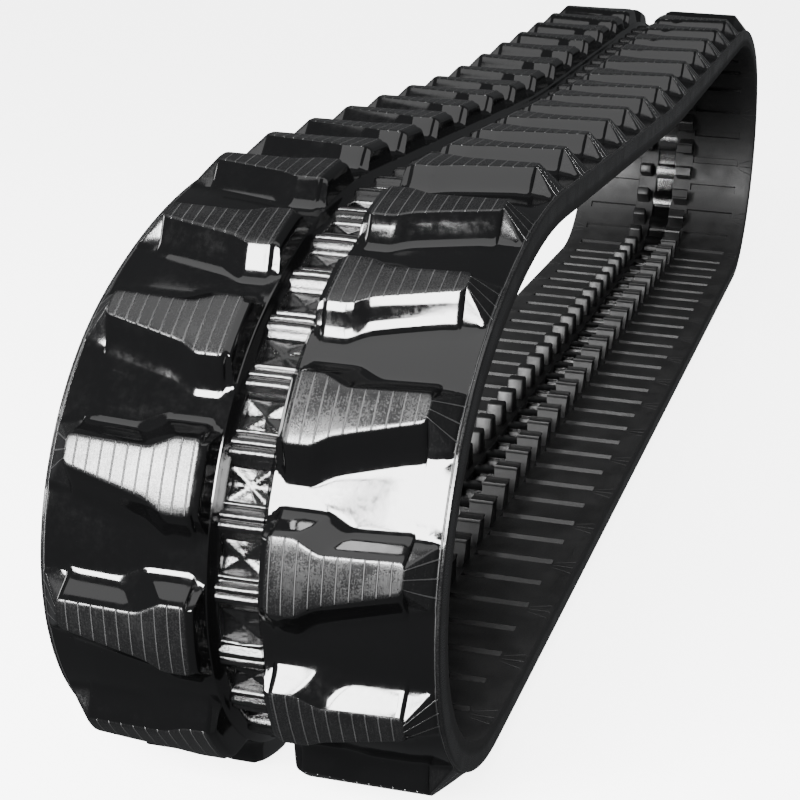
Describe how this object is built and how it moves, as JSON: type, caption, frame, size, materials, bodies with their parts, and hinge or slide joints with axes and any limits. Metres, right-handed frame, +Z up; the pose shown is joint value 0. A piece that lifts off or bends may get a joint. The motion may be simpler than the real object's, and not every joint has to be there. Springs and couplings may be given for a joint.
{
  "type": "rubber track",
  "caption": "Steel-cored rubber track for a mini excavator, a closed loop with staggered tread lugs, sprocket windows and guide horns.",
  "frame": {"origin": "centre of the loop's footprint on the ground plane under the lowest tread lugs", "axes": "+X along the belt's run, towards the far end in the picture; +Y across the belt; +Z up"},
  "size_m": [2.0447, 0.3, 0.4677],
  "materials": {
    "carcass_rubber": "satin moulded rubber",
    "lug_rubber": "satin moulded rubber with fine mottling",
    "horn_rubber": "satin moulded rubber",
    "skin_rubber": "glossy thin rubber flash",
    "core_steel": "forged",
    "cord_steel": "brass-coated cord in rubber"
  },
  "bodies": {
    "base": {"carcass_bottom": "carcass_rubber", "core_bars_bottom": "core_steel", "guide_horns_bottom": "horn_rubber", "cord_ply_bottom": "cord_steel", "left_lugs_bottom": "lug_rubber", "right_lugs_bottom": "lug_rubber", "carcass_front_bend": "carcass_rubber", "core_bars_front_bend": "core_steel", "guide_horns_front_bend": "horn_rubber", "cord_ply_front_bend": "cord_steel", "left_lugs_front_bend": "lug_rubber", "right_lugs_front_bend": "lug_rubber", "carcass_rear_bend": "carcass_rubber", "core_bars_rear_bend": "core_steel", "guide_horns_rear_bend": "horn_rubber", "cord_ply_rear_bend": "cord_steel", "left_lugs_rear_bend": "lug_rubber", "right_lugs_rear_bend": "lug_rubber", "window_skins_base": "skin_rubber"},
    "top_front": {"carcass_top_front": "carcass_rubber", "core_bars_top_front": "core_steel", "guide_horns_top_front": "horn_rubber", "cord_ply_top_front": "cord_steel", "left_lugs_top_front": "lug_rubber", "right_lugs_top_front": "lug_rubber", "window_skins_top_front": "skin_rubber", "flex_web_front_low": "carcass_rubber", "flex_lug_front_low": "lug_rubber", "flex_cords_front_low": "cord_steel"},
    "mid_front": {"carcass_mid_front": "carcass_rubber", "core_bars_mid_front": "core_steel", "guide_horns_mid_front": "horn_rubber", "cord_ply_mid_front": "cord_steel", "left_lugs_mid_front": "lug_rubber", "right_lugs_mid_front": "lug_rubber", "window_skins_mid_front": "skin_rubber", "flex_web_front_high": "carcass_rubber", "flex_lug_front_high": "lug_rubber", "flex_cords_front_high": "cord_steel"},
    "mid_rear": {"carcass_mid_rear": "carcass_rubber", "core_bars_mid_rear": "core_steel", "guide_horns_mid_rear": "horn_rubber", "cord_ply_mid_rear": "cord_steel", "left_lugs_mid_rear": "lug_rubber", "right_lugs_mid_rear": "lug_rubber", "window_skins_mid_rear": "skin_rubber", "flex_web_rear_high": "carcass_rubber", "flex_lug_rear_high": "lug_rubber", "flex_cords_rear_high": "cord_steel"},
    "top_rear": {"carcass_top_rear": "carcass_rubber", "core_bars_top_rear": "core_steel", "guide_horns_top_rear": "horn_rubber", "cord_ply_top_rear": "cord_steel", "left_lugs_top_rear": "lug_rubber", "right_lugs_top_rear": "lug_rubber", "window_skins_top_rear": "skin_rubber", "flex_web_rear_low": "carcass_rubber", "flex_lug_rear_low": "lug_rubber", "flex_cords_rear_low": "cord_steel"}
  },
  "joints": [
    {"name": "front_low_flex", "type": "hinge", "parent": "base", "child": "top_front", "pos_m": [-0.60349, 0, 0.43755], "axis": [0, -1, 0], "range_deg": [-3, 3], "stiffness_Nm_per_rad": 1500, "springref_deg": 1.18, "deforming": ["flex_web_front_low", "flex_lug_front_low", "flex_cords_front_low"]},
    {"name": "front_high_flex", "type": "hinge", "parent": "top_front", "child": "mid_front", "pos_m": [-0.23617, 0, 0.42601], "axis": [0, -1, 0], "range_deg": [-3, 3], "deforming": ["flex_web_front_high", "flex_lug_front_high", "flex_cords_front_high"]},
    {"name": "rear_low_flex", "type": "hinge", "parent": "base", "child": "top_rear", "pos_m": [0.60349, 0, 0.43755], "axis": [0, 1, 0], "range_deg": [-3, 3], "stiffness_Nm_per_rad": 1500, "springref_deg": 1.18, "deforming": ["flex_web_rear_low", "flex_lug_rear_low", "flex_cords_rear_low"]},
    {"name": "rear_high_flex", "type": "hinge", "parent": "top_rear", "child": "mid_rear", "pos_m": [0.23617, 0, 0.42601], "axis": [0, 1, 0], "range_deg": [-3, 3], "deforming": ["flex_web_rear_high", "flex_lug_rear_high", "flex_cords_rear_high"]}
  ],
  "couplings": [
    {"joint": "front_high_flex", "follows": "front_low_flex", "ratio": -1},
    {"joint": "rear_low_flex", "follows": "front_low_flex", "ratio": 1},
    {"joint": "rear_high_flex", "follows": "front_low_flex", "ratio": -1}
  ]
}
